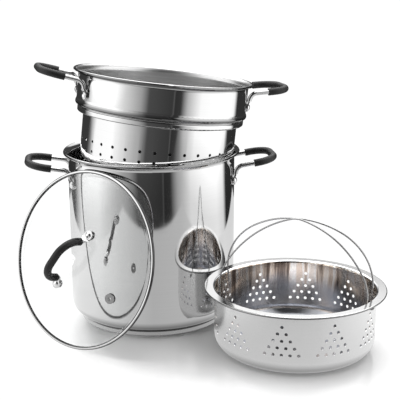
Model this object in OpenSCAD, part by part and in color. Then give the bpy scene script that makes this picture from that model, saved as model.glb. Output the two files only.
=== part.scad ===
// Stock pot with a straining insert, a steaming basket and a glass lid.
// The pot stands at the origin on its base disc, +X to the right, -Y to the front, +Z up.
// The insert hangs tilted in the pot, the lid leans on the pot wall, the basket stands beside it.

/* [Pot] */
// outer radius of the pot wall
pot_r = 110; // [100:1:120]
// height of the pot lip above the table
pot_h = 227; // [200:1:250]
// thickness of the drawn steel sheet
sheet = 0.8; // [0.6:0.05:1]
// outer radius of the round corner at the pot bottom
pot_corner_r = 18; // [12:1:24]
// step from the pot wall in to the edge of the base disc
disc_inset = 12; // [11:1:20]
// thickness of the base disc
disc_h = 6.5; // [5:0.5:8]
// edge bevel of the base disc
disc_bevel = 1; // [0.5:0.1:1.5]

/* [Lip] */
// bend radius of the flared mouth
flare_r = 9; // [7:0.5:10]
// turn of the flared mouth
flare_turn = 62; // [50:1:68]
// bend radius of the rolled edge of a lip
roll_r = 1.4; // [1.2:0.1:1.6]
// turn of the rolled edge of a lip
roll_turn = 150; // [120:5:170]

/* [Insert] */
// step from the pot wall in to the insert's lower wall
insert_inset = 8.5; // [7.5:0.25:9.5]
// step from the pot wall out to the insert's upper wall
insert_outset = 1.5; // [1:0.25:2.5]
// height of the insert's upper tier above its crease
upper_h = 49.1; // [46:0.5:54]
// height of the bead under the crease
bead_h = 7.4; // [6.5:0.1:8.5]
// room left under the insert when it sits upright in the pot
floor_room = 15; // [10:1:20]
// corner radius at the bottom of the insert
insert_corner_r = 18; // [14:1:22]
// tilt of the insert as it hangs in the pot
insert_tilt = 6.2; // [5.5:0.1:7]
// direction of that tilt
insert_azimuth = 15; // [-20:1:30]
// diameter of the drain holes
drain_d = 4.2; // [3.5:0.1:5]
// drain holes around
drain_count = 34; // [30:2:40]
// direction of the first column of drain holes
drain_azimuth = 2.5; // [-5:0.5:5]
// height between rows of drain holes
drain_pitch = 12.8; // [12:0.2:16]
// first row of drain holes below the bead
drain_drop = 31.2; // [28:1:36]
// rings of holes in the bottoms of the insert and the basket
bottom_rings = 5; // [3:1:5]
// distance between the rings of bottom holes
ring_pitch = 14; // [12:0.5:15]

/* [Basket] */
// step from the pot wall in to the basket wall
basket_inset = 10.1; // [9:0.1:13]
// height of the basket
basket_h = 80; // [76:0.5:84]
// step from the pot wall out to the edge of the basket flange
flange_out = 2.6; // [0.5:0.1:3]
// corner radius at the bottom of the basket
basket_corner_r = 20; // [14:1:22]
// bend radius under the flange
flange_bend_r = 2.6; // [2.2:0.1:3]
// turn of the rolled flange edge
flange_roll_turn = 130; // [110:5:150]
// triangles of steam holes around
steam_groups = 10; // [8:1:12]
// direction of the first triangle of steam holes
steam_azimuth = 1.3; // [-4:0.1:4]
// diameter of the steam holes
steam_d = 4; // [3.5:0.1:4.5]
// rows in each triangle of steam holes
steam_rows = 5; // [3:1:5]
// height between rows of steam holes
steam_pitch = 8.6; // [8:0.1:9]
// height of the lowest row of steam holes
steam_z = 28.3; // [26:0.5:30]
// distance between steam holes in a row
steam_step = 10.1; // [9.5:0.1:10.5]
// side position of the basket on the table
basket_x = 175.6; // [172:0.2:190]

/* [Bails] */
// diameter of the bail wire
wire_d = 2.2; // [2:0.1:2.4]
// height of the bail hinges
hinge_z = 68; // [67:0.5:69]
// distance of each hinge line from the middle of the basket
hinge_y = 21.8; // [18:0.2:23]
// direction of the hinge lines
bail_azimuth = -21.9; // [-26:0.1:-18]
// rise of each bail above its hinge line
bail_rise = 99.7; // [94:0.1:102]

/* [Side handles] */
// diameter of the handle rod
rod_d = 6; // [5.5:0.25:6.5]
// outer diameter of the handle sleeve
sleeve_d = 9.6; // [9:0.2:10.4]
// distance between the two legs of a handle
leg_span = 70; // [66:1:74]
// reach of a handle from the wall to the middle of its rod
handle_reach = 52; // [48:1:56]
// rise of the handle loop
handle_slope = 9.5; // [7:0.5:12]
// rivet height of the pot handles below the lip
pot_rivet_drop = 38.8; // [37:0.5:42]
// room between the insert's bulge and the feet of its handles
insert_foot_room = 0.2; // [0.1:0.1:1]
// direction of the pot handles
pot_handle_azimuth = 4.8; // [-5:0.5:15]
// direction of the insert handles
insert_handle_azimuth = 11.6; // [0:0.5:20]

/* [Lid] */
// step from the pot wall out to the steel band of the lid
lid_out = 2; // [-2:0.5:3]
// radius of the rounded edge of the band
band_r = 2.2; // [2:0.1:2.4]
// thickness of the glass
glass_t = 3; // [2.6:0.1:3.2]
// rise of the glass dome
dome_h = 18.5; // [16:0.5:22]
// distance between the legs of the lid handle
lid_leg_span = 58; // [54:1:58]
// distance from a leg of the lid handle to its screw
lid_foot_reach = 10.5; // [10:0.25:12]
// height of the lid handle above its feet
lid_handle_rise = 36; // [33:1:40]
// turn of the lid handle on the lid
lid_handle_turn = 58.7; // [40:1:70]
// distance of the steam vent from the middle of the lid
vent_r = 71; // [64:1:78]
// lean of the lid from upright
lid_lean = 14.4; // [12:0.2:18]
// direction that the dome faces
lid_azimuth = -128.7; // [-135:0.5:-120]

/* [Fits] */
// radial clearance of the rivets and the sleeves
snug = 0.05; // [0.03:0.01:0.1]
// radial clearance of the bail wire in its holes
hinge_play = 0.1; // [0.06:0.01:0.1]
// gap where one thing leans on another
rest_gap = 0.25; // [0.2:0.05:0.3]

/* [Hidden] */
$fn = 96;
lap = 0.12;
lap_step = 0.03;
// holes are cut from this far inside a wall to this far outside
cut_in = 3;
cut_out = 2;
// rivets and the flattened handle feet
rivet_d = 4;
rivet_head_d = 9.6;
rivet_head_h = 2.4;
rivet_tail_h = 0.7;
tail_rim = 0.3;
wall_sag = 0.15;
tail_step = 1;
tab_t = 2.4;
tab_w = 11.6;
head_room = 0.4;
// pot
pot_floor = disc_h + sheet;
pot_in_r = pot_r - sheet;
disc_r = pot_r - disc_inset;
lip_rise = (flare_r - roll_r) * sin(flare_turn) + roll_r + sheet / 2;
lip_reach = flare_r * (1 - cos(flare_turn)) + roll_r * (1 + cos(flare_turn));
flare_z = pot_h - lip_rise;
lip_out_r = pot_r + lip_reach;
lip_path = [[flare_r, -flare_turn], [roll_r, -roll_turn]];
// insert, measured from its crease
insert_r = pot_r - insert_inset;
upper_r = pot_r + insert_outset;
tier_h = pot_h - pot_floor - floor_room;
insert_bottom = -bead_h - tier_h;
bead_step = 2;
bead_r = upper_r - bead_step;
ledge_r = 1.5;
bulge_turn = 26;
bulge_r = 6;
bulge_fade_r = 8;
bulge_foot_r = 3;
bulge_foot_turn = 60;
crease_run = 0.9;
crease_path = [[1.2, 40], [0, 0.8], [1, -100]];
ledge_path = [[ledge_r, -90], [0, bead_r - insert_r - 2 * ledge_r], [ledge_r, 90],
    [0, bead_h - 2 * ledge_r - crease_run]];
below_crease = concat(ledge_path, [crease_path[0]]);
crease_rise = states(below_crease, [0, 0, 90])[len(below_crease)][1];
crease_x = states(concat(ledge_path, crease_path), [0, 0, 90])[len(ledge_path) + 3];
bulge_run = (upper_r - insert_r + (bulge_r + bulge_fade_r) * (1 - cos(bulge_turn)) - crease_x[0]
    - bulge_foot_r * (1 - cos(bulge_foot_turn))) / sin(bulge_foot_turn);
bulge_path = [[0, bulge_run], [bulge_foot_r, bulge_foot_turn], [bulge_r, bulge_turn],
    [bulge_fade_r, -bulge_turn]];
step_path = concat(ledge_path, crease_path, bulge_path);
step_rise = states(step_path, [0, 0, 90])[len(step_path)][1];
insert_rivet_z = step_rise - crease_rise + insert_foot_room + tab_w / 2;
// pose of the insert: the lower wall leans on the mouth, the bottom corner on the far wall
lean_r = pot_in_r - rest_gap;
insert_off = insert_corner_r - lean_r + (insert_r - insert_corner_r) * cos(insert_tilt)
    - (insert_bottom + insert_corner_r) * sin(insert_tilt);
insert_z = flare_z + insert_r * sin(insert_tilt)
    - (lean_r - insert_off - insert_r * cos(insert_tilt)) / tan(insert_tilt);
// basket
basket_r = pot_r - basket_inset;
flange_r = pot_r + flange_out;
basket_y = -sqrt(pow(pot_r + flange_r + rest_gap, 2) - pow(basket_x, 2));
flange_roll_r = 0.9;
flange_flat = flange_r - basket_r - flange_bend_r - flange_roll_r;
// bails
wire_r = wire_d / 2;
hook_r = 2.6;
hook_run = 2.8;
hook_up = 1.5;
front_arch = [[84, 29], [187, 46], [36, 15]];
back_arch = [[80, 61], [115, 29]];
hinge_x = sqrt(pow(basket_r - sheet / 2, 2) - pow(hinge_y, 2));
leg_x = hinge_x - hook_run / 2 - hook_r;
bail_lean = asin((hinge_y - wire_r - rest_gap / 2) / bail_rise);
// handles
rod_r = rod_d / 2;
bend_r = 11;
neck = 9;
bare = 16;
loop_corner_r = 24;
// lid
lid_r = pot_r + lid_out;
lid_foot_span = lid_leg_span + 2 * lid_foot_reach;
band_ring_r = lid_r - band_r;
// a lid that would reach over the mouth leans further, until its top lies at the lip
lid_tilt = max(lid_lean, acos(min(1, (pot_h / 2 - band_r) / band_ring_r)));
lid_top_z = 2 * band_ring_r * cos(lid_tilt) + 2 * band_r;
lid_stop_r = lid_top_z < flare_z + 1 ? pot_r : lip_out_r;
lid_off = lid_stop_r + rest_gap + band_r + band_ring_r * sin(lid_tilt);
lid_z = band_ring_r * cos(lid_tilt) + band_r;
glass_inset = 1.2;
glass_r = lid_r - glass_inset;
band_lap = 3;
shoulder_r = 8;
rim_flat = 6;
shoulder_at = glass_r - rim_flat;
dome_turn = 2 * atan(dome_h / shoulder_at);
dome_r = shoulder_at / sin(dome_turn) - shoulder_r;
dome_out_r = dome_r + glass_t / 2;
dome_z = dome_h - dome_r;
gasket_t = 0.8;
lid_foot_angle = asin(lid_foot_span / 2 / dome_out_r);
lid_foot_z = dome_z + dome_out_r * cos(lid_foot_angle);
lid_bend_r = 3.6;
lid_corner_r = 22;
lid_bare = 1.5;
lid_rod_z = rod_r + gasket_t + snug;
lid_neck = ((lid_foot_span - lid_leg_span) / 2 + lid_rod_z * sin(lid_foot_angle)
    - lid_bend_r * (1 - sin(lid_foot_angle))) / cos(lid_foot_angle);
screw_d = 4;
screw_head_r = 4.3;
screw_head_h = 2.2;
screw_tail = 4;
nut_d = 8;
nut_h = 2.4;
nut_flange_d = 11;
nut_flange_h = 0.9;
nut_gap = 0.1;
vent_d = 9;
vent_bore_r = 2.2;
vent_lip = 1.8;
vent_lip_t = 0.8;

// A path is a list of straights [0, length] and bends [radius, turn], turn > 0 to the left.
// A state is [x, y, heading].
function bend_centre(s, r, turn) = [s[0] - sign(turn) * r * sin(s[2]), s[1] + sign(turn) * r * cos(s[2])];
function next_state(s, e) = e[0] == 0
    ? [s[0] + e[1] * cos(s[2]), s[1] + e[1] * sin(s[2]), s[2]]
    : let (c = bend_centre(s, e[0], e[1]), h = s[2] + e[1], k = sign(e[1]) * e[0])
        [c[0] + k * sin(h), c[1] - k * cos(h), h];
function states(path, s, i = 0) = i == len(path)
    ? [s]
    : concat([s], states(path, next_state(s, path[i]), i + 1));

// Every other piece of a path is a hair thinner and reaches a little way into its neighbours.
function thinner(i) = i % 2 == 1 ? lap_step : 0;
function reach(i) = i % 2 == 1 ? lap : 0;

// pie piece from angle a0 through turn
module wedge(a0, turn, r) {
    n = ceil(abs(turn) / 60);
    polygon(concat([[0, 0]], [for (i = [0 : n]) r * [cos(a0 + turn * i / n), sin(a0 + turn * i / n)]]));
}

// sheet metal section along a path, t thick
module strip(path, start, t = sheet) {
    s = states(path, start);
    for (i = [0 : len(path) - 1]) {
        w = t - thinner(i);
        r = path[i][0];
        if (r == 0) {
            translate([s[i][0], s[i][1]])
                rotate(s[i][2])
                    translate([-reach(i), -w / 2])
                        square([path[i][1] + 2 * reach(i), w]);
        } else {
            k = sign(path[i][1]);
            more = k * reach(i) / r * 180 / PI;
            translate(bend_centre(s[i], r, path[i][1]))
                intersection() {
                    difference() {
                        circle(r + w / 2);
                        circle(r - w / 2);
                    }
                    wedge(s[i][2] - k * 90 - more, path[i][1] + 2 * more, 2 * (r + t));
                }
        }
    }
}

// round rod of diameter d along a path in the XY plane
module rod(path, start, d, first = 0) {
    s = states(path, start);
    for (i = [0 : len(path) - 1]) {
        w = d - thinner(i + first);
        e = reach(i + first);
        r = path[i][0];
        if (r == 0) {
            translate([s[i][0], s[i][1], 0])
                rotate([0, 90, s[i][2]])
                    translate([0, 0, -e])
                        cylinder(d = w, h = path[i][1] + 2 * e);
        } else {
            turn = path[i][1];
            more = e / r * 180 / PI;
            c = bend_centre(s[i], r, turn);
            translate([c[0], c[1], 0])
                rotate([0, 0, s[i][2] - sign(turn) * 90 + min(turn, 0) - more])
                    rotate_extrude(angle = abs(turn) + 2 * more)
                        translate([r, 0])
                            circle(d = w);
        }
    }
}

// where the parts stand
module at_insert() {
    rotate([0, 0, insert_azimuth])
        translate([insert_off, 0, insert_z])
            rotate([0, insert_tilt, 0])
                rotate([0, 0, -insert_azimuth])
                    children();
}

module at_basket() {
    translate([basket_x, basket_y, 0])
        children();
}

module at_lid() {
    rotate([0, 0, lid_azimuth])
        translate([lid_off, 0, lid_z])
            rotate([0, 90 - lid_tilt, 0])
                rotate([0, 0, 90])
                    children();
}

// rivet places of a handle pair on a wall of radius r, side 0 or 1
function foot_angle(r) = asin(leg_span / 2 / (r + rod_r + snug));

module at_feet(r, z) {
    for (side = [-1, 1])
        rotate([0, 0, side * foot_angle(r)])
            translate([r, 0, z])
                children();
}

// cutter for a hole straight out through a wall at x = 0
module wall_hole(d) {
    translate([-cut_in, 0, 0])
        rotate([0, 90, 0])
            cylinder(d = d, h = cut_in + cut_out);
}

module foot_holes(r, z, azimuth) {
    for (half = [0, 180])
        rotate([0, 0, azimuth + half])
            at_feet(r, z)
                wall_hole(rivet_d + 2 * snug);
}

// cutters for rings of holes in a bottom at height z, six more in each ring
module ring_holes(d, z) {
    for (k = [1 : bottom_rings], i = [0 : 6 * k - 1])
        rotate([0, 0, i * 360 / (6 * k)])
            translate([k * ring_pitch, 0, z - cut_in])
                cylinder(d = d, h = cut_in + cut_out);
}

// handle rod: two flattened feet, two bent legs and one loop, drawn pointing to +X
module handle(r, z) {
    leg_r = r + rod_r + snug;
    leg_at = leg_r * cos(foot_angle(r));
    legs_z = z + neck;
    out = handle_out(r);
    difference() {
        union() {
            for (side = [-1, 1])
                translate([leg_at, side * leg_span / 2, 0])
                    rotate([90, 0, 0])
                        rod([[bend_r, handle_slope - 90]], [0, legs_z, 90], rod_d, 1);
            translate([leg_at + bend_r * (1 - sin(handle_slope)), 0, legs_z + bend_r * cos(handle_slope)])
                rotate([0, -handle_slope, 0])
                    rod(loop_path(out), [0, -leg_span / 2, 0], rod_d);
            at_feet(r, z)
                foot(neck, rivet_head_d / 2);
        }
        at_feet(r, z)
            translate([snug + tab_t, 0, 0])
                wall_hole(rivet_d + 2 * snug);
    }
}

// length of the straight legs of the loop before its corners
function handle_out(r) = (r + handle_reach - (r + rod_r + snug) * cos(foot_angle(r))
    - bend_r * (1 - sin(handle_slope))) / cos(handle_slope) - loop_corner_r;

// loop of a handle with straight ends of length out
function loop_path(out) = [[0, out], [loop_corner_r, 90], [0, leg_span - 2 * loop_corner_r],
    [loop_corner_r, 90], [0, out]];

// flattened end of a handle rod, its back at x = 0, its rivet hole at z = 0;
// it stays flat under a rivet head and tapers to the rod over the rest of its run
module foot(run, head_r) {
    taper = run - head_r - head_room;
    translate([snug, 0, 0])
        rotate([90, 0, 90])
            linear_extrude(tab_t)
                union() {
                    circle(d = tab_w);
                    translate([-tab_w / 2, 0])
                        square([tab_w, run - taper + lap]);
                }
    translate([rod_r + snug, 0, run - taper])
        intersection() {
            cylinder(d1 = tab_w, d2 = rod_d, h = taper);
            rotate([90, 0, 0])
                linear_extrude(tab_w + 2, center = true)
                    polygon([[-rod_r, 0], [tab_t - rod_r, 0], [rod_r, taper], [-rod_r, taper]]);
        }
}

// sleeve over the loop of a side handle
module sleeve(r, z) {
    leg_at = (r + rod_r + snug) * cos(foot_angle(r));
    out = handle_out(r);
    translate([leg_at + bend_r * (1 - sin(handle_slope)), 0, z + neck + bend_r * cos(handle_slope)])
        rotate([0, -handle_slope, 0])
            difference() {
                rod(loop_path(out - bare), [bare, -leg_span / 2, 0], sleeve_d);
                rod(loop_path(out - bare + cut_out), [bare - cut_out, -leg_span / 2, 0],
                    rod_d + 2 * snug + lap_step);
            }
}

// one rivet with a domed outer head and a flat inner head, back of the foot at x = 0
module rivet() {
    dome_r = (pow(rivet_head_d / 2, 2) + pow(rivet_head_h, 2)) / (2 * rivet_head_h);
    face = snug + tab_t;
    tail = sheet + snug + rivet_tail_h;
    rotate([0, 90, 0])
        union() {
            translate([0, 0, -tail + rivet_tail_h / 2])
                cylinder(d = rivet_d, h = tail - rivet_tail_h / 2 + face + rivet_head_h / 4);
            intersection() {
                translate([0, 0, face + snug])
                    cylinder(d = rivet_head_d, h = rivet_head_h);
                translate([0, 0, face + snug + rivet_head_h - dome_r])
                    sphere(dome_r);
            }
            translate([0, 0, -tail - wall_sag])
                cylinder(d1 = rivet_head_d - 2 * tail_step, d2 = rivet_head_d - 2 * tail_rim,
                    h = rivet_tail_h);
        }
}

module rivets(r, z, azimuth) {
    for (half = [0, 180])
        rotate([0, 0, azimuth + half])
            at_feet(r, z)
                rivet();
}

// pot
module pot_body() {
    color("silver")
        difference() {
            rotate_extrude()
                strip(concat([[0, pot_r - pot_corner_r], [pot_corner_r - sheet / 2, 90],
                    [0, flare_z - disc_h - pot_corner_r]], lip_path),
                    [0, disc_h + sheet / 2, 0]);
            foot_holes(pot_r, pot_h - pot_rivet_drop, pot_handle_azimuth);
        }
}

module pot_base_disc() {
    color("gray")
        rotate_extrude()
            polygon([[0, 0], [disc_r - disc_bevel, 0], [disc_r, disc_bevel],
                [disc_r, disc_h - disc_bevel], [disc_r - disc_bevel, disc_h], [0, disc_h]]);
}

module pot_right_handle() {
    color("silver")
        rotate([0, 0, pot_handle_azimuth])
            handle(pot_r, pot_h - pot_rivet_drop);
}

module pot_left_handle() {
    color("silver")
        rotate([0, 0, pot_handle_azimuth + 180])
            handle(pot_r, pot_h - pot_rivet_drop);
}

module pot_right_sleeve() {
    color("dimgray")
        rotate([0, 0, pot_handle_azimuth])
            sleeve(pot_r, pot_h - pot_rivet_drop);
}

module pot_left_sleeve() {
    color("dimgray")
        rotate([0, 0, pot_handle_azimuth + 180])
            sleeve(pot_r, pot_h - pot_rivet_drop);
}

module pot_handle_rivets() {
    color("lightgray")
        rivets(pot_r, pot_h - pot_rivet_drop, pot_handle_azimuth);
}

// straining insert
// section from the bottom up: lower wall, ledge, bead, crease, bulge, upper wall, flared mouth
module insert_section() {
    strip(concat([[0, insert_r - insert_corner_r], [insert_corner_r - sheet / 2, 90],
        [0, -insert_bottom - insert_corner_r - crease_rise]], step_path,
        [[0, upper_h - lip_rise - step_rise + crease_rise]], lip_path),
        [0, insert_bottom + sheet / 2, 0]);
}

module insert_body() {
    rows = floor((tier_h - drain_drop - insert_corner_r - drain_d) / drain_pitch);
    color("silver")
        at_insert()
            difference() {
                rotate_extrude()
                    insert_section();
                for (j = [0 : rows], i = [0 : drain_count - 1])
                    rotate([0, 0, drain_azimuth + i * 360 / drain_count])
                        translate([insert_r, 0, -bead_h - drain_drop - j * drain_pitch])
                            wall_hole(drain_d);
                ring_holes(drain_d, insert_bottom + sheet);
                foot_holes(upper_r, insert_rivet_z, insert_handle_azimuth);
            }
}

module insert_right_handle() {
    color("silver")
        at_insert()
            rotate([0, 0, insert_handle_azimuth])
                handle(upper_r, insert_rivet_z);
}

module insert_left_handle() {
    color("silver")
        at_insert()
            rotate([0, 0, insert_handle_azimuth + 180])
                handle(upper_r, insert_rivet_z);
}

module insert_right_sleeve() {
    color("dimgray")
        at_insert()
            rotate([0, 0, insert_handle_azimuth])
                sleeve(upper_r, insert_rivet_z);
}

module insert_left_sleeve() {
    color("dimgray")
        at_insert()
            rotate([0, 0, insert_handle_azimuth + 180])
                sleeve(upper_r, insert_rivet_z);
}

module insert_handle_rivets() {
    color("lightgray")
        at_insert()
            rivets(upper_r, insert_rivet_z, insert_handle_azimuth);
}

// steaming basket
module basket_body() {
    rise = basket_h - basket_corner_r - flange_bend_r - sheet / 2;
    steam_turn = steam_step / basket_r * 180 / PI;
    color("silver")
        at_basket()
            difference() {
                rotate_extrude()
                    strip([[0, basket_r - basket_corner_r], [basket_corner_r - sheet / 2, 90], [0, rise],
                        [flange_bend_r, -90], [0, flange_flat],
                        [flange_roll_r, -flange_roll_turn]], [0, sheet / 2, 0]);
                for (k = [0 : steam_groups - 1], j = [0 : steam_rows - 1], i = [0 : steam_rows - 1 - j])
                    rotate([0, 0, steam_azimuth + k * 360 / steam_groups
                        + (i - (steam_rows - 1 - j) / 2) * steam_turn])
                        translate([basket_r, 0, steam_z + j * steam_pitch])
                            wall_hole(steam_d);
                ring_holes(steam_d, sheet);
                for (side = [-1, 1], end = [-1, 1])
                    rotate([0, 0, bail_azimuth])
                        translate([end * hinge_x, side * hinge_y, hinge_z])
                            rotate([0, 90, 0])
                                cylinder(d = wire_d + 2 * hinge_play, h = cut_in + cut_out, center = true);
            }
}

// a bail in the XY plane, its hinge line on X; the arch is a list of bends that turn 90 in all
module bail(arch) {
    top = states(arch, [0, 0, 90])[len(arch)];
    grow = leg_x / -top[0];
    bends = [for (e = arch) [e[0] * grow, e[1]]];
    leg = bail_rise - hook_r - top[1] * grow;
    n = len(arch) - 1;
    down = [[0, hook_up], [hook_r, -90], [0, hook_run], [hook_r, -90], [0, leg]];
    flank = [for (i = [0 : 1 : n - 1]) bends[i]];
    rod(concat(down, flank, [[bends[n][0], 2 * bends[n][1]]], backwards(flank), backwards(down)),
        [leg_x + 2 * hook_r + hook_run, hook_r + hook_up, -90], wire_d);
}

function backwards(path) = [for (i = [len(path) - 1 : -1 : 0]) path[i]];

module at_bail(side) {
    at_basket()
        rotate([0, 0, bail_azimuth])
            translate([0, side * hinge_y, hinge_z])
                rotate([90 + side * bail_lean, 0, 0])
                    children();
}

module basket_front_bail() {
    color("silver")
        at_bail(-1)
            bail(front_arch);
}

module basket_back_bail() {
    color("silver")
        at_bail(1)
            bail(back_arch);
}

// lid, its rim plane at z = 0 and its dome to +Z
module on_dome(r, angle) {
    rotate([0, 0, angle])
        translate([0, 0, dome_z])
            rotate([0, asin(r / dome_out_r), 0])
                translate([0, 0, dome_out_r])
                    children();
}

// cutter for a screw hole through the glass and what lies on it
module screw_hole() {
    cylinder(d = screw_d + 2 * snug, h = 4 * glass_t, center = true);
}

module at_lid_feet() {
    for (half = [0, 180])
        on_dome(lid_foot_span / 2, lid_handle_turn + half)
            children();
}

module lid_glass() {
    color("lightblue", 0.4)
        at_lid()
            difference() {
                rotate_extrude()
                    strip([[dome_r, -dome_turn], [shoulder_r, dome_turn], [0, glass_r - shoulder_at]],
                        [0, dome_h, 0], glass_t);
                at_lid_feet()
                    screw_hole();
                on_dome(vent_r, lid_handle_turn - 90)
                    cylinder(d = vent_d + 2 * snug, h = 4 * glass_t, center = true);
            }
}

module lid_band() {
    groove = glass_t / 2 + snug;
    color("silver")
        at_lid()
            rotate_extrude()
                difference() {
                    union() {
                        translate([band_ring_r, 0])
                            circle(band_r);
                        translate([glass_r - band_lap, -band_r])
                            square([band_ring_r - glass_r + band_lap, 2 * band_r]);
                    }
                    translate([glass_r - band_lap - 1, -groove])
                        square([band_lap + 1 + snug, 2 * groove]);
                }
}

// handle of the lid in the XY plane, its feet on the dome
function lid_leg_start() = [
    -lid_foot_span / 2 + lid_neck * cos(lid_foot_angle) - lid_rod_z * sin(lid_foot_angle),
    lid_foot_z + lid_neck * sin(lid_foot_angle) + lid_rod_z * cos(lid_foot_angle),
    lid_foot_angle
];
function lid_bend_top() = next_state(lid_leg_start(), [lid_bend_r, 90 - lid_foot_angle]);
function lid_leg_run() = lid_foot_z + lid_handle_rise - lid_corner_r - lid_bend_top()[1];
function lid_loop(leg, across) = [[0, leg], [lid_corner_r, -90], [0, across],
    [lid_corner_r, -90], [0, leg]];

module lid_handle() {
    foot_bend = [[lid_bend_r, 90 - lid_foot_angle]];
    across = lid_leg_span - 2 * lid_corner_r;
    color("silver")
        at_lid()
            difference() {
                union() {
                    rotate([0, 0, lid_handle_turn])
                        rotate([90, 0, 0])
                            rod(concat(foot_bend, lid_loop(lid_leg_run(), across), foot_bend),
                                lid_leg_start(), rod_d, 1);
                    at_lid_feet()
                        rotate([0, -90, 0])
                            translate([gasket_t, 0, 0])
                                foot(lid_neck, screw_head_r);
                }
                at_lid_feet()
                    screw_hole();
            }
}

module lid_handle_sleeve() {
    up = lid_bend_top();
    leg = lid_leg_run() - lid_bare;
    across = lid_leg_span - 2 * lid_corner_r;
    color("dimgray")
        at_lid()
            rotate([0, 0, lid_handle_turn])
                rotate([90, 0, 0])
                    difference() {
                        rod(lid_loop(leg, across), [up[0], up[1] + lid_bare, 90], sleeve_d);
                        rod(lid_loop(leg + cut_out, across), [up[0], up[1] + lid_bare - cut_out, 90],
                            rod_d + 2 * snug + lap_step);
                    }
}

module lid_handle_screws() {
    face = gasket_t + tab_t + 2 * snug;
    tail = glass_t + screw_tail;
    cap_r = (pow(screw_head_r, 2) + pow(screw_head_h, 2)) / (2 * screw_head_h);
    color("lightgray")
        at_lid()
            at_lid_feet()
                union() {
                    translate([0, 0, -tail])
                        cylinder(d = screw_d, h = tail + face + screw_head_h / 4);
                    intersection() {
                        translate([0, 0, face])
                            cylinder(r = screw_head_r, h = screw_head_h);
                        translate([0, 0, face + screw_head_h - cap_r])
                            sphere(cap_r);
                    }
                }
}

module lid_handle_washers() {
    color("dimgray")
        at_lid()
            at_lid_feet()
                difference() {
                    translate([0, 0, snug])
                        cylinder(d = tab_w - 1, h = gasket_t - snug);
                    screw_hole();
                }
}

module lid_handle_nuts() {
    color("lightgray")
        at_lid()
            at_lid_feet()
                difference() {
                    translate([0, 0, -glass_t - nut_gap - nut_flange_h - nut_h])
                        union() {
                            cylinder(d = nut_d, h = nut_h, $fn = 6);
                            translate([0, 0, nut_h])
                                cylinder(d = nut_flange_d, h = nut_flange_h);
                        }
                    translate([0, 0, -2 * glass_t])
                        screw_hole();
                }
}

module lid_steam_vent() {
    half_h = glass_t / 2 + 2 * snug;
    color("lightgray")
        at_lid()
            on_dome(vent_r, lid_handle_turn - 90)
                translate([0, 0, -glass_t / 2])
                    rotate_extrude()
                        difference() {
                            translate([vent_bore_r, -half_h - vent_lip_t])
                                square([vent_d / 2 + vent_lip - vent_bore_r, 2 * (half_h + vent_lip_t)]);
                            translate([vent_d / 2, -half_h])
                                square([2 * vent_lip, 2 * half_h]);
                        }
}

pot_body();
pot_base_disc();
pot_right_handle();
pot_left_handle();
pot_right_sleeve();
pot_left_sleeve();
pot_handle_rivets();
insert_body();
insert_right_handle();
insert_left_handle();
insert_right_sleeve();
insert_left_sleeve();
insert_handle_rivets();
basket_body();
basket_front_bail();
basket_back_bail();
lid_glass();
lid_band();
lid_handle();
lid_handle_sleeve();
lid_handle_screws();
lid_handle_washers();
lid_handle_nuts();
lid_steam_vent();
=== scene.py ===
import bpy
import math
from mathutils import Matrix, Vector


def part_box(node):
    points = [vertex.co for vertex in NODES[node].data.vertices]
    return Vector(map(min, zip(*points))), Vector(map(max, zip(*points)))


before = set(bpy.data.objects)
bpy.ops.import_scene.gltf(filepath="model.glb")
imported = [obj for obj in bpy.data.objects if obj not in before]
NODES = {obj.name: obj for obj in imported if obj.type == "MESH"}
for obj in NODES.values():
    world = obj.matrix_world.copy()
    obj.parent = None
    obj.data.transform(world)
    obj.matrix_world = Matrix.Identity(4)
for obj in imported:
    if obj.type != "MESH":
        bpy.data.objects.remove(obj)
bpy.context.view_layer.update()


# Places and sizes that the finishes follow, in metres, in the frame of the solids
def middle_of(node):
    """Middle of a piece that is as wide on all sides of it."""
    low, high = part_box(node)
    return (Vector(low) + Vector(high)) / 2


def radius_of(node):
    """Outer radius of an upright round piece."""
    low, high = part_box(node)
    return (high[0] - low[0]) / 2


SHEET_T = 0.0008
POT_R = 0.110
POT_LIP_R = radius_of("pot_body")
# how far outside the wall a lip and its painted shade begin, and how wide the edge of a lip is
LIP_OUT = 0.002
LIP_EDGE = SHEET_T
# the insert leans by its tilt in one direction, counted from +X
INSERT_AT = (0.01258, 0.00337, 0.2753)
INSERT_TILT = math.radians(6.2)
INSERT_TILT_TO = math.radians(15.0)
INSERT_LIP_R = 0.1183
INSERT_WALL_R = INSERT_LIP_R - 4 * SHEET_T
BASKET_AT = (middle_of("basket_body").x, middle_of("basket_body").y, 0.0)
BASKET_R = 0.0999
FLANGE_R = radius_of("basket_body")
LID_AT = tuple(middle_of("lid_band"))
LID_TURN = (0.0, math.radians(75.6), math.radians(-128.7))
# the band has a painted highlight up to one distance from its middle and painted shade from the other on
BAND_MIDDLE_R = 0.1101
BAND_HIGHLIGHT_REACH = 0.0006
BAND_SHADE_FROM = 0.0012

# Camera: the photograph's place, direction and field of view
CAMERA_AT = (0.0, -1.28584, 0.48541)
CAMERA_DOWN = math.radians(14.38)
CAMERA_TURN = math.radians(2.865)
IMAGE_WIDTH_PIXELS = 400.0
FOCAL_LENGTH_PIXELS = 984.56
SENSOR_MM = 36.0
FURTHEST_SEEN = 60.0


def add_camera():
    data = bpy.data.cameras.new("camera")
    data.sensor_width = SENSOR_MM
    data.lens = FOCAL_LENGTH_PIXELS / IMAGE_WIDTH_PIXELS * SENSOR_MM
    data.clip_end = FURTHEST_SEEN
    camera = bpy.data.objects.new("camera", data)
    camera.location = CAMERA_AT
    camera.rotation_euler = (math.pi / 2 - CAMERA_DOWN, 0.0, -CAMERA_TURN)
    bpy.context.scene.collection.objects.link(camera)
    bpy.context.scene.camera = camera


# Node helpers
def grey(value):
    return (value, value, value, 1.0)


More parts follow.
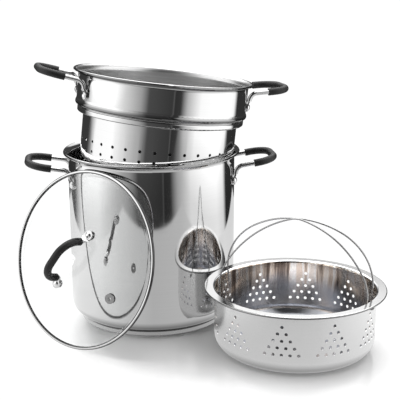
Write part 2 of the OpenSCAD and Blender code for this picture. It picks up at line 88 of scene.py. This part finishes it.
class Graph:
    """Nodes of a material, a world or a group, made in one line each."""

    def __init__(self, tree):
        self.tree = tree

    def node(self, kind, inputs=None, **settings):
        made = self.tree.nodes.new(kind)
        for key, value in settings.items():
            setattr(made, key, value)
        self.fill(made, inputs or {})
        return made

    def fill(self, node, inputs):
        for key, value in inputs.items():
            self.put(node.inputs[key], value)

    def put(self, socket, value):
        if isinstance(value, bpy.types.NodeSocket):
            self.tree.links.new(value, socket)
        else:
            socket.default_value = value

    def place(self):
        """Place on the piece, in metres."""
        return self.node("ShaderNodeTexCoord").outputs["Object"]

    def parts(self, vector):
        return self.node("ShaderNodeSeparateXYZ", {0: vector}).outputs

    def math(self, operation, a, b=0.0, c=0.0):
        return self.node("ShaderNodeMath", {0: a, 1: b, 2: c}, operation=operation).outputs[0]

    def vector(self, operation, *vectors):
        return self.node("ShaderNodeVectorMath", dict(enumerate(vectors)), operation=operation).outputs[0]

    def measure(self, operation, *vectors):
        """A number worked out from vectors."""
        made = self.node("ShaderNodeVectorMath", dict(enumerate(vectors)), operation=operation)
        return made.outputs["Value"]

    def scaled(self, vector, factor):
        """A vector or colour times a number."""
        return self.node("ShaderNodeVectorMath", {0: vector, "Scale": factor}, operation="SCALE").outputs[0]

    def turned_back(self, vector, turn):
        """A vector as a piece with that turn sees it."""
        return self.node("ShaderNodeVectorRotate", {"Vector": vector, "Rotation": turn},
                         rotation_type="EULER_XYZ", invert=True).outputs[0]

    def noise(self, place, scale, detail, distortion=0.0):
        return self.node("ShaderNodeTexNoise", {
            "Vector": place, "Scale": scale, "Detail": detail, "Distortion": distortion}).outputs[0]

    def fade(self, value, start, end, low=0.0, high=1.0, soft=False):
        """A number that is low up to start, high from end on, and goes over evenly or softly between."""
        return self.node("ShaderNodeMapRange", {
            "Value": value, "From Min": start, "From Max": end, "To Min": low, "To Max": high},
            interpolation_type="SMOOTHSTEP" if soft else "LINEAR").outputs[0]

    def blend(self, share, a, b):
        """A number between a and b."""
        return self.node("ShaderNodeMix", {0: share, 2: a, 3: b}).outputs[0]

    def mix(self, share, a, b):
        """A colour between a and b."""
        return self.node("ShaderNodeMix", {0: share, 6: a, 7: b}, data_type="RGBA").outputs[2]

    def ramp(self, value, stops):
        """Colours that follow one another along a value."""
        made = self.node("ShaderNodeValToRGB", {"Fac": value})
        elements = made.color_ramp.elements
        while len(elements) < len(stops):
            elements.new(0.5)
        for element, (at, color) in zip(elements, stops):
            element.position = at
            element.color = color
        return made.outputs[0]

    def bump(self, height, strength, depth, normal=None):
        made = self.node("ShaderNodeBump", {"Height": height, "Strength": strength, "Distance": depth})
        if normal is not None:
            self.put(made.inputs["Normal"], normal)
        return made.outputs[0]


def new_group(name, inputs, outputs):
    tree = bpy.data.node_groups.new(name, "ShaderNodeTree")
    for label, kind, value in inputs:
        socket = tree.interface.new_socket(label, in_out="INPUT", socket_type=kind)
        socket.default_value = value
    for label, kind in outputs:
        tree.interface.new_socket(label, in_out="OUTPUT", socket_type=kind)
    graph = Graph(tree)
    return graph, graph.node("NodeGroupInput").outputs, graph.node("NodeGroupOutput")


def group_outputs(graph, tree, inputs):
    return graph.node("ShaderNodeGroup", inputs, node_tree=tree).outputs


def new_material(name, **constants):
    material = bpy.data.materials.new(name)
    material.use_nodes = True
    material.node_tree.nodes.clear()
    graph = Graph(material.node_tree)
    shader = graph.node("ShaderNodeBsdfPrincipled")
    for socket, value in constants.items():
        shader.inputs[socket.replace("_", " ")].default_value = value
    output = graph.node("ShaderNodeOutputMaterial", {"Surface": shader.outputs[0]})
    return material, graph, shader, output


# Shared effects
# Colours of the painted reflections and painted highlights inside the basket
REFLECTED_BROWN = (0.2, 0.15, 0.12, 1.0)
REFLECTED_TAN = (0.84, 0.70, 0.58, 1.0)
PAINTED_HIGHLIGHT_PALE = (1.0, 0.96, 0.9, 1.0)
REFLECTED_SLATE = (0.34, 0.35, 0.38, 1.0)
REFLECTED_GREY = (0.62, 0.63, 0.66, 1.0)
REFLECTION_STREAKS = (75.0, 75.0, 6.0)
REFLECTION_WANDER = 0.05
WALL_REFLECTION_STOPS = [(0.37, REFLECTED_BROWN), (0.45, REFLECTED_TAN), (0.53, PAINTED_HIGHLIGHT_PALE), (0.62, REFLECTED_TAN)]


def make_around_group():
    """Place on a turned piece, and how its faces look. The third value of Around runs across the turned
    marks, down a wall or out along a floor. Inward is high where a face looks up or to the axis."""
    graph, source, result = new_group(
        "place_around_axis",
        [("Middle", "NodeSocketVector", (0, 0, 0)), ("Turn", "NodeSocketVector", (0, 0, 0))],
        [("Around", "NodeSocketVector"), ("Distance", "NodeSocketFloat"), ("Height", "NodeSocketFloat"),
         ("Inward", "NodeSocketFloat"), ("Up", "NodeSocketFloat")])
    from_middle = graph.vector("SUBTRACT", graph.place(), source["Middle"])
    x, y, height = graph.parts(graph.turned_back(from_middle, source["Turn"]))
    outward = graph.node("ShaderNodeCombineXYZ", {0: x, 1: y}).outputs[0]
    distance = graph.measure("LENGTH", outward)
    across = graph.math("ADD", distance, height)
    around = graph.node("ShaderNodeCombineXYZ", {0: x, 1: y, 2: across}).outputs[0]
    normal = graph.node("ShaderNodeNewGeometry").outputs["Normal"]
    facing = graph.turned_back(normal, source["Turn"])
    away = graph.measure("DOT_PRODUCT", facing, graph.vector("NORMALIZE", outward))
    up = graph.parts(facing)[2]
    graph.fill(result, {"Around": around, "Distance": distance, "Height": height,
                        "Inward": graph.math("SUBTRACT", up, away), "Up": up})
    return graph.tree


def make_polish_group():
    """Polished sheet or rod: streaks along one direction, soft waves and a few smudges."""
    graph, source, result = new_group(
        "polish_marks",
        [("Place", "NodeSocketVector", (0, 0, 0)), ("Streaks", "NodeSocketVector", (40, 40, 4000)),
         ("Smooth", "NodeSocketFloat", 0.06), ("Rough", "NodeSocketFloat", 0.14),
         ("Light", "NodeSocketColor", grey(0.7)), ("Dark", "NodeSocketColor", grey(0.6))],
        [("Color", "NodeSocketColor"), ("Roughness", "NodeSocketFloat"), ("Streak", "NodeSocketFloat"),
         ("Wave", "NodeSocketFloat")])
    streak = graph.noise(graph.vector("MULTIPLY", source["Place"], source["Streaks"]), scale=1.0, detail=3.0)
    wave = graph.noise(source["Place"], scale=14.0, detail=1.0)
    smudge = graph.fade(graph.noise(source["Place"], scale=55.0, detail=4.0), 0.45, 0.75)
    share = graph.math("MULTIPLY_ADD", streak, 0.5, graph.math("MULTIPLY", smudge, 0.5))
    graph.fill(result, {"Color": graph.mix(streak, source["Light"], source["Dark"]),
                        "Roughness": graph.fade(share, 0.0, 1.0, source["Smooth"], source["Rough"]),
                        "Streak": streak, "Wave": wave})
    return graph.tree


def make_grain_group():
    """Moulded soft grip: fine grain with larger pale patches where hands rub it."""
    graph, source, result = new_group(
        "moulded_grain",
        [("Scale", "NodeSocketFloat", 900.0), ("Base", "NodeSocketColor", grey(0.02)),
         ("Rubbed", "NodeSocketColor", grey(0.05)), ("Smooth", "NodeSocketFloat", 0.35),
         ("Rough", "NodeSocketFloat", 0.55)],
        [("Color", "NodeSocketColor"), ("Roughness", "NodeSocketFloat"), ("Grain", "NodeSocketFloat")])
    place = graph.place()
    grain = graph.noise(place, source["Scale"], detail=2.0)
    rubbed = graph.fade(graph.noise(place, scale=60.0, detail=3.0), 0.4, 0.7)
    graph.fill(result, {"Color": graph.mix(rubbed, source["Base"], source["Rubbed"]),
                        "Roughness": graph.fade(grain, 0.0, 1.0, source["Smooth"], source["Rough"]),
                        "Grain": grain})
    return graph.tree


def make_painted_reflection_group():
    """Painted reflections inside the basket: warm and dark upright streaks with pale painted highlights on
    the wall, and a slate grey painted reflection lower down.
    """
    graph, source, result = new_group(
        "painted_reflection_inside",
        [("Place", "NodeSocketVector", (0, 0, 0)), ("Height", "NodeSocketFloat", 0.0),
         ("Low", "NodeSocketFloat", 0.03), ("High", "NodeSocketFloat", 0.06)],
        [("Color", "NodeSocketColor"), ("Roughness", "NodeSocketFloat")])
    streak = graph.noise(graph.vector("MULTIPLY", source["Place"], REFLECTION_STREAKS), scale=1.0, detail=3.0,
                         distortion=0.4)
    patch = graph.noise(source["Place"], scale=22.0, detail=2.0)
    wander = graph.math("MULTIPLY_ADD", patch, REFLECTION_WANDER, -REFLECTION_WANDER / 2)
    height = graph.math("ADD", source["Height"], wander)
    on_wall = graph.fade(height, source["Low"], source["High"], soft=True)
    floor = graph.mix(streak, REFLECTED_SLATE, REFLECTED_GREY)
    graph.fill(result, {"Color": graph.mix(on_wall, floor, graph.ramp(streak, WALL_REFLECTION_STOPS)),
                        "Roughness": graph.fade(patch, 0.0, 1.0, 0.12, 0.22)})
    return graph.tree


AROUND = make_around_group()
POLISH = make_polish_group()
GRAIN = make_grain_group()
PAINTED_REFLECTION = make_painted_reflection_group()

# Marks in a surface: their depth in metres, and how much of it shows
WAVE_DEPTH = 0.0006
TURNED_DEPTH, TURNED_SHARE = 0.00001, 0.1
BAR_DEPTH, BAR_SHARE = 0.00002, 0.15
GRAIN_DEPTH, GRAIN_SHARE = 0.00008, 0.25

# Ranges over which a face goes from looking down, outward or sideways to looking another way; the painted
# shade follows the down and sideways ones
DOWN = (-0.6, -0.15)
OUTWARD = (-0.6, -0.2)
SIDEWAYS = (0.1, 0.6)
# heights from a piece's middle point over which the painted shade inside goes from dark to plain
SHADE_BELOW_MIDDLE = (-0.05, 0.0)


# Turned sheet steel
class TurnedSteel:
    """Steel of a round piece of sheet, polished around its axis. Steps change it, done() ends it."""

    def __init__(self, name, middle=(0, 0, 0), turn=(0, 0, 0), streaks=(6.0, 6.0, 2500.0), wave=0.35,
                 smooth=0.03, rough=0.1, light=0.66, dark=0.60):
        self.material, self.graph, self.shader, _ = new_material(name, Metallic=1.0)
        self.around = group_outputs(self.graph, AROUND, {"Middle": middle, "Turn": turn})
        self.streaks = streaks
        self.wave = wave
        self.marks = self.polish(smooth, rough, light, dark)
        self.color = self.marks["Color"]
        self.roughness = self.marks["Roughness"]

    def polish(self, smooth, rough, light=0.66, dark=0.60, streaks=None):
        return group_outputs(self.graph, POLISH, {
            "Place": self.around["Around"], "Streaks": streaks or self.streaks,
            "Smooth": smooth, "Rough": rough, "Light": grey(light), "Dark": grey(dark)})

    def satin_wall(self, smooth, rough):
        """Faces that look outward get a roughness range of their own."""
        other = self.graph.fade(self.around["Inward"], *OUTWARD)
        satin = self.polish(smooth, rough)["Roughness"]
        self.roughness = self.graph.blend(other, satin, self.roughness)

    def painted_shade_below(self, tone):
        """Painted shade: faces that look down, such as under a lip or bead, get darker."""
        self.color = self.graph.scaled(self.color, self.graph.fade(self.around["Up"], *DOWN, tone, 1.0))

    def painted_shade_on_lip(self, start, edge, tone):
        """Painted shade on a lip: darker on its side past the radius start, and all over past the radius
        edge.
        """
        side = self.graph.fade(self.around["Up"], *SIDEWAYS, tone, 1.0)
        past_start = self.graph.math("GREATER_THAN", self.around["Distance"], start)
        past_edge = self.graph.math("GREATER_THAN", self.around["Distance"], edge)
        lip = self.graph.blend(past_edge, side, tone)
        self.color = self.graph.scaled(self.color, self.graph.blend(past_start, 1.0, lip))

    def inside(self, reach, color, roughness):
        """Faces that look inward or up within the radius reach get another finish, without waves; in the
        insert and the basket this colour is painted reflection, highlight and shade.
        """
        near = self.graph.math("LESS_THAN", self.around["Distance"], reach)
        inward = self.graph.math("GREATER_THAN", self.around["Inward"], 0.0)
        share = self.graph.math("MULTIPLY", near, inward)
        self.color = self.graph.mix(share, self.color, color)
        self.roughness = self.graph.blend(share, self.roughness, roughness)
        self.wave = self.graph.math("MULTIPLY_ADD", share, -self.wave, self.wave)

    def polished_inside(self, reach, smooth, rough, light, dark, streaks=None, deep=1.0):
        """An inside that is polished too, with painted shade that darkens it to a given tone below the
        piece's middle point.
        """
        marks = self.polish(smooth, rough, light, dark, streaks)
        tone = self.graph.fade(self.around["Height"], *SHADE_BELOW_MIDDLE, deep, 1.0, soft=True)
        self.inside(reach, self.graph.scaled(marks["Color"], tone), marks["Roughness"])

    # The basket's inside gets painted reflections and painted highlights in its colour.
    def painted_reflection_inside(self, reach):
        marks = group_outputs(self.graph, PAINTED_REFLECTION, {
            "Place": self.around["Around"], "Height": self.around["Height"]})
        self.inside(reach, marks["Color"], marks["Roughness"])

    def done(self):
        waves = self.graph.bump(self.marks["Wave"], self.wave, WAVE_DEPTH)
        streaks = self.graph.bump(self.marks["Streak"], TURNED_SHARE, TURNED_DEPTH, waves)
        self.graph.fill(self.shader, {
            "Base Color": self.color, "Roughness": self.roughness, "Normal": streaks})
        return self.material


def pot_steel():
    steel = TurnedSteel("pot_mirror_steel")
    steel.painted_shade_below(0.35)
    steel.painted_shade_on_lip(start=POT_R + LIP_OUT, edge=POT_LIP_R - LIP_EDGE, tone=0.35)
    steel.polished_inside(POT_R - SHEET_T / 2, smooth=0.16, rough=0.26, light=0.55, dark=0.48)
    return steel.done()


def base_disc_steel():
    steel = TurnedSteel("base_disc_steel", streaks=(4.0, 4.0, 900.0), wave=0.05, smooth=0.2, rough=0.34,
                        light=0.5, dark=0.42)
    steel.painted_shade_below(0.35)
    return steel.done()


def insert_steel():
    tilt_axis = Vector((-math.sin(INSERT_TILT_TO), math.cos(INSERT_TILT_TO), 0.0))
    steel = TurnedSteel("insert_mirror_steel", middle=INSERT_AT, turn=tuple(tilt_axis * INSERT_TILT),
                        wave=0.3)
    steel.painted_shade_below(0.35)
    steel.painted_shade_on_lip(start=POT_R + LIP_OUT, edge=INSERT_LIP_R - LIP_EDGE, tone=0.35)
    # inside, the strong light and dark rings are painted reflections, and painted shade darkens its lower
    # part
    steel.polished_inside(INSERT_WALL_R, smooth=0.26, rough=0.38, light=0.9, dark=0.3,
                          streaks=(0.5, 0.5, 320.0), deep=0.35)
    return steel.done()


def basket_steel():
    steel = TurnedSteel("basket_satin_steel", middle=BASKET_AT, wave=0.0, smooth=0.08, rough=0.14,
                        light=0.84, dark=0.78)
    steel.satin_wall(0.2, 0.3)
    steel.painted_shade_below(0.5)
    steel.painted_shade_on_lip(start=BASKET_R + LIP_OUT, edge=FLANGE_R - LIP_EDGE, tone=0.3)
    steel.painted_reflection_inside(BASKET_R - SHEET_T / 2)
    return steel.done()


# Rods, wires, fasteners and the lid
def bar_steel(name, scale, smooth, rough, light, dark):
    """Polished rod, wire or fastener with fine marks in no one direction."""
    material, graph, shader, _ = new_material(name, Metallic=1.0)
    marks = group_outputs(graph, POLISH, {
        "Place": graph.place(), "Streaks": (scale, scale, scale), "Smooth": smooth, "Rough": rough,
        "Light": grey(light), "Dark": grey(dark)})
    graph.fill(shader, {"Base Color": marks["Color"], "Roughness": marks["Roughness"],
                        "Normal": graph.bump(marks["Streak"], BAR_SHARE, BAR_DEPTH)})
    return material


def band_steel():
    """Polished band of the lid, with a painted highlight along its middle and painted shade along both
    edges.
    """
    material, graph, shader, _ = new_material("lid_band_steel", Metallic=1.0)
    around = group_outputs(graph, AROUND, {"Middle": LID_AT, "Turn": LID_TURN})
    marks = group_outputs(graph, POLISH, {
        "Place": around["Around"], "Streaks": (60.0, 60.0, 1500.0), "Smooth": 0.08, "Rough": 0.16,
        "Light": grey(0.7), "Dark": grey(0.6)})
    off = graph.math("ABSOLUTE", graph.math("SUBTRACT", around["Distance"], BAND_MIDDLE_R))
    tone = graph.fade(off, BAND_HIGHLIGHT_REACH, BAND_SHADE_FROM, 1.0, 0.12)
    graph.fill(shader, {"Base Color": graph.scaled(marks["Color"], tone), "Roughness": marks["Roughness"],
                        "Normal": graph.bump(marks["Streak"], BAR_SHARE, BAR_DEPTH)})
    return material


def moulded_rubber(name, base, rubbed, smooth, rough, scale):
    """Sleeve or washer with a fine moulded grain."""
    material, graph, shader, _ = new_material(name, Specular_IOR_Level=0.35)
    grain = group_outputs(graph, GRAIN, {
        "Scale": scale, "Base": grey(base), "Rubbed": grey(rubbed), "Smooth": smooth, "Rough": rough})
    graph.fill(shader, {"Base Color": grain["Color"], "Roughness": grain["Roughness"],
                        "Normal": graph.bump(grain["Grain"], GRAIN_SHARE, GRAIN_DEPTH)})
    return material


def clear_glass():
    """Glass of the lid, with the faint smears of a wiped pane."""
    material, graph, shader, _ = new_material("lid_clear_glass", Transmission_Weight=1.0, IOR=1.3,
                                              Metallic=0.0)
    smear = graph.noise(graph.place(), scale=30.0, detail=4.0)
    tint = graph.mix(smear, (0.995, 0.998, 0.998, 1.0), (0.985, 0.992, 0.99, 1.0))
    graph.fill(shader, {"Base Color": tint, "Roughness": graph.fade(smear, 0.4, 0.8, 0.0, 0.02)})
    return material


def dress():
    """Finish of each solid."""
    rod = bar_steel("handle_rod_steel", scale=700.0, smooth=0.08, rough=0.2, light=0.6, dark=0.5)
    wire = bar_steel("bail_wire_steel", scale=1500.0, smooth=0.14, rough=0.26, light=0.44, dark=0.36)
    fastener = bar_steel("fastener_steel", scale=1200.0, smooth=0.06, rough=0.16, light=0.76, dark=0.68)
    # the vent's steel is painted much darker than the other fasteners, as painted shade for its dark bore
    vent = bar_steel("vent_steel", scale=1200.0, smooth=0.1, rough=0.2, light=0.42, dark=0.25)
    grip = moulded_rubber("handle_grip_black", base=0.004, rubbed=0.009, smooth=0.42, rough=0.58,
                          scale=1400.0)
    washer = moulded_rubber("washer_rubber", base=0.25, rubbed=0.32, smooth=0.36, rough=0.52, scale=2500.0)
    finishes = [
        (pot_steel(), ["pot_body"]),
        (base_disc_steel(), ["pot_base_disc"]),
        (insert_steel(), ["insert_body"]),
        (basket_steel(), ["basket_body"]),
        (rod, ["pot_right_handle", "pot_left_handle", "insert_right_handle", "insert_left_handle",
               "lid_handle"]),
        (grip, ["pot_right_sleeve", "pot_left_sleeve", "insert_right_sleeve", "insert_left_sleeve",
                "lid_handle_sleeve"]),
        (fastener, ["pot_handle_rivets", "insert_handle_rivets", "lid_handle_screws", "lid_handle_nuts"]),
        (wire, ["basket_front_bail", "basket_back_bail"]),
        (washer, ["lid_handle_washers"]),
        (vent, ["lid_steam_vent"]),
        (band_steel(), ["lid_band"]),
        (clear_glass(), ["lid_glass"]),
    ]
    for material, names in finishes:
        for name in names:
            mesh = NODES[name].data
            mesh.materials.clear()
            mesh.materials.append(material)


# Studio: a white table that the steel sees darker in front and behind, and soft light all round.
# Directions run from the back (0) over the left (0.25), the front (0.5) and the right (0.75) to the back.
TABLE_NEAR = [(0.0, 0.6), (0.1, 0.85), (0.2, 1.15), (0.32, 1.1), (0.44, 0.74), (0.5, 0.64), (0.6, 0.7),
              (0.7, 0.98), (0.8, 1.05), (0.9, 0.85), (1.0, 0.6)]
TABLE_FAR = [(0.0, 0.03), (0.155, 0.04), (0.185, 0.6), (0.21, 1.05), (0.3, 1.1), (0.36, 0.7), (0.42, 0.36),
             (0.45, 0.07), (0.535, 0.04), (0.538, 0.13), (0.541, 0.03), (0.565, 0.04), (0.59, 0.5),
             (0.64, 1.05), (0.76, 1.2), (0.8, 1.0), (0.82, 0.03), (1.0, 0.03)]
SIDE_LIGHT = [(0.0, 0.04), (0.15, 0.04), (0.18, 0.8), (0.2, 1.0), (0.32, 1.0), (0.36, 0.6), (0.42, 0.22),
              (0.45, 0.05), (0.535, 0.03), (0.538, 0.1), (0.541, 0.02), (0.56, 0.03), (0.58, 0.4),
              (0.63, 0.9), (0.67, 1.0), (0.785, 1.0), (0.81, 0.3), (0.83, 0.04), (1.0, 0.04)]
SIDE_STRENGTH = 1.7
# light from above, weak at first and strong straight above, over ranges of how steep a direction is
LOW_TOP = 1.2
LOW_TOP_RANGE = (0.68, 0.77)
HIGH_TOP = 3.4
HIGH_TOP_RANGE = (0.82, 0.92)
TOP_LOWER_BEHIND = 0.45
BACKDROP = 1.05
TABLE_SIZE = 24.0
TABLE_TONE = 0.78
# in steel the near tones end at an edge, closer by the factor TABLE_SIDES to the left and right
TABLE_EDGE = 0.6
TABLE_EDGE_FADE = 0.03
TABLE_SIDES = 1.28
FAR_RANGE = (0.8, 1.3)
FAR_STRENGTH = 1.45
# the table shows its gloss and shade within these circles (middle, radius), and is plain white outside
SHADED = [((0.075, -0.07, 0.0), 0.145), ((0.165, -0.15, 0.0), 0.11)]
SHADE_FADE = 0.05


def direction_ramp(graph, x, y, stops):
    """Brightness by the direction of x and y."""
    angle = graph.math("ARCTAN2", x, graph.math("MULTIPLY", y, -1.0))
    share = graph.math("MULTIPLY_ADD", angle, 0.5 / math.pi, 0.5)
    return graph.ramp(share, [(at, grey(value)) for at, value in stops])


def mirrored_table(graph, place):
    """The table as steel sees it: a glow of painted reflection tones by direction, others past its edge, and
    brighter far out.
    """
    x, y, _ = graph.parts(place)
    sideways = graph.math("MULTIPLY", graph.math("ABSOLUTE", x), TABLE_SIDES)
    reach = graph.math("MAXIMUM", graph.math("ABSOLUTE", y), sideways)
    past = graph.fade(reach, TABLE_EDGE, TABLE_EDGE + TABLE_EDGE_FADE, soft=True)
    tone = graph.mix(past, direction_ramp(graph, x, y, TABLE_NEAR), direction_ramp(graph, x, y, TABLE_FAR))
    strength = graph.fade(reach, *FAR_RANGE, 1.0, FAR_STRENGTH)
    return graph.node("ShaderNodeEmission", {"Color": tone, "Strength": strength}).outputs[0]


def table_material():
    """White table, glossy and shaded near the object and plain white further out."""
    material, graph, shader, output = new_material("white_table", Base_Color=grey(TABLE_TONE))
    material.cycles.emission_sampling = "NONE"
    place = graph.place()
    specks = graph.noise(place, scale=40.0, detail=3.0)
    graph.put(shader.inputs["Roughness"], graph.fade(specks, 0.0, 1.0, 0.1, 0.2))
    outside = [graph.math("SUBTRACT", graph.measure("DISTANCE", place, middle), radius)
               for middle, radius in SHADED]
    clear = graph.fade(graph.math("MINIMUM", *outside), 0.0, SHADE_FADE, soft=True)
    white = graph.node("ShaderNodeEmission", {"Color": grey(1.0), "Strength": BACKDROP}).outputs[0]
    seen = graph.node("ShaderNodeMixShader", {0: clear, 1: shader.outputs[0], 2: white}).outputs[0]
    in_steel = graph.math("GREATER_THAN", graph.node("ShaderNodeLightPath").outputs["Glossy Depth"], 0.5)
    both = graph.node("ShaderNodeMixShader", {0: in_steel, 1: seen, 2: mirrored_table(graph, place)})
    graph.put(output.inputs["Surface"], both.outputs[0])
    return material


def add_table():
    bpy.ops.object.select_all(action="DESELECT")
    bpy.ops.mesh.primitive_plane_add(size=TABLE_SIZE, location=(0, 0, 0))
    table = bpy.context.active_object
    table.name = "table"
    table.data.materials.append(table_material())


def add_light():
    """Soft light from the sides, weak and then strong light from above, and a white backdrop."""
    world = bpy.data.worlds.new("studio")
    bpy.context.scene.world = world
    world.use_nodes = True
    world.node_tree.nodes.clear()
    graph = Graph(world.node_tree)
    x, y, z = graph.parts(graph.node("ShaderNodeTexCoord").outputs["Generated"])
    studio = graph.scaled(direction_ramp(graph, x, y, SIDE_LIGHT), SIDE_STRENGTH)
    # the light from above comes down lower at the back than at the front
    lifted = graph.math("MULTIPLY_ADD", y, TOP_LOWER_BEHIND, z)
    studio = graph.mix(graph.fade(lifted, *LOW_TOP_RANGE, soft=True), studio, grey(LOW_TOP))
    studio = graph.mix(graph.fade(lifted, *HIGH_TOP_RANGE, soft=True), studio, grey(HIGH_TOP))
    # white where the camera sees past the object, also through the glass
    path = graph.node("ShaderNodeLightPath").outputs
    straight = graph.math("LESS_THAN", path["Glossy Depth"], 0.5)
    through = graph.math("MULTIPLY", path["Is Transmission Ray"], straight)
    seen = graph.math("MAXIMUM", path["Is Camera Ray"], through)
    light = graph.node("ShaderNodeBackground", {"Color": graph.mix(seen, studio, grey(BACKDROP))})
    graph.node("ShaderNodeOutputWorld", {"Surface": light.outputs[0]})


add_camera()
dress()
add_table()
add_light()
bpy.context.scene.view_settings.view_transform = "Standard"
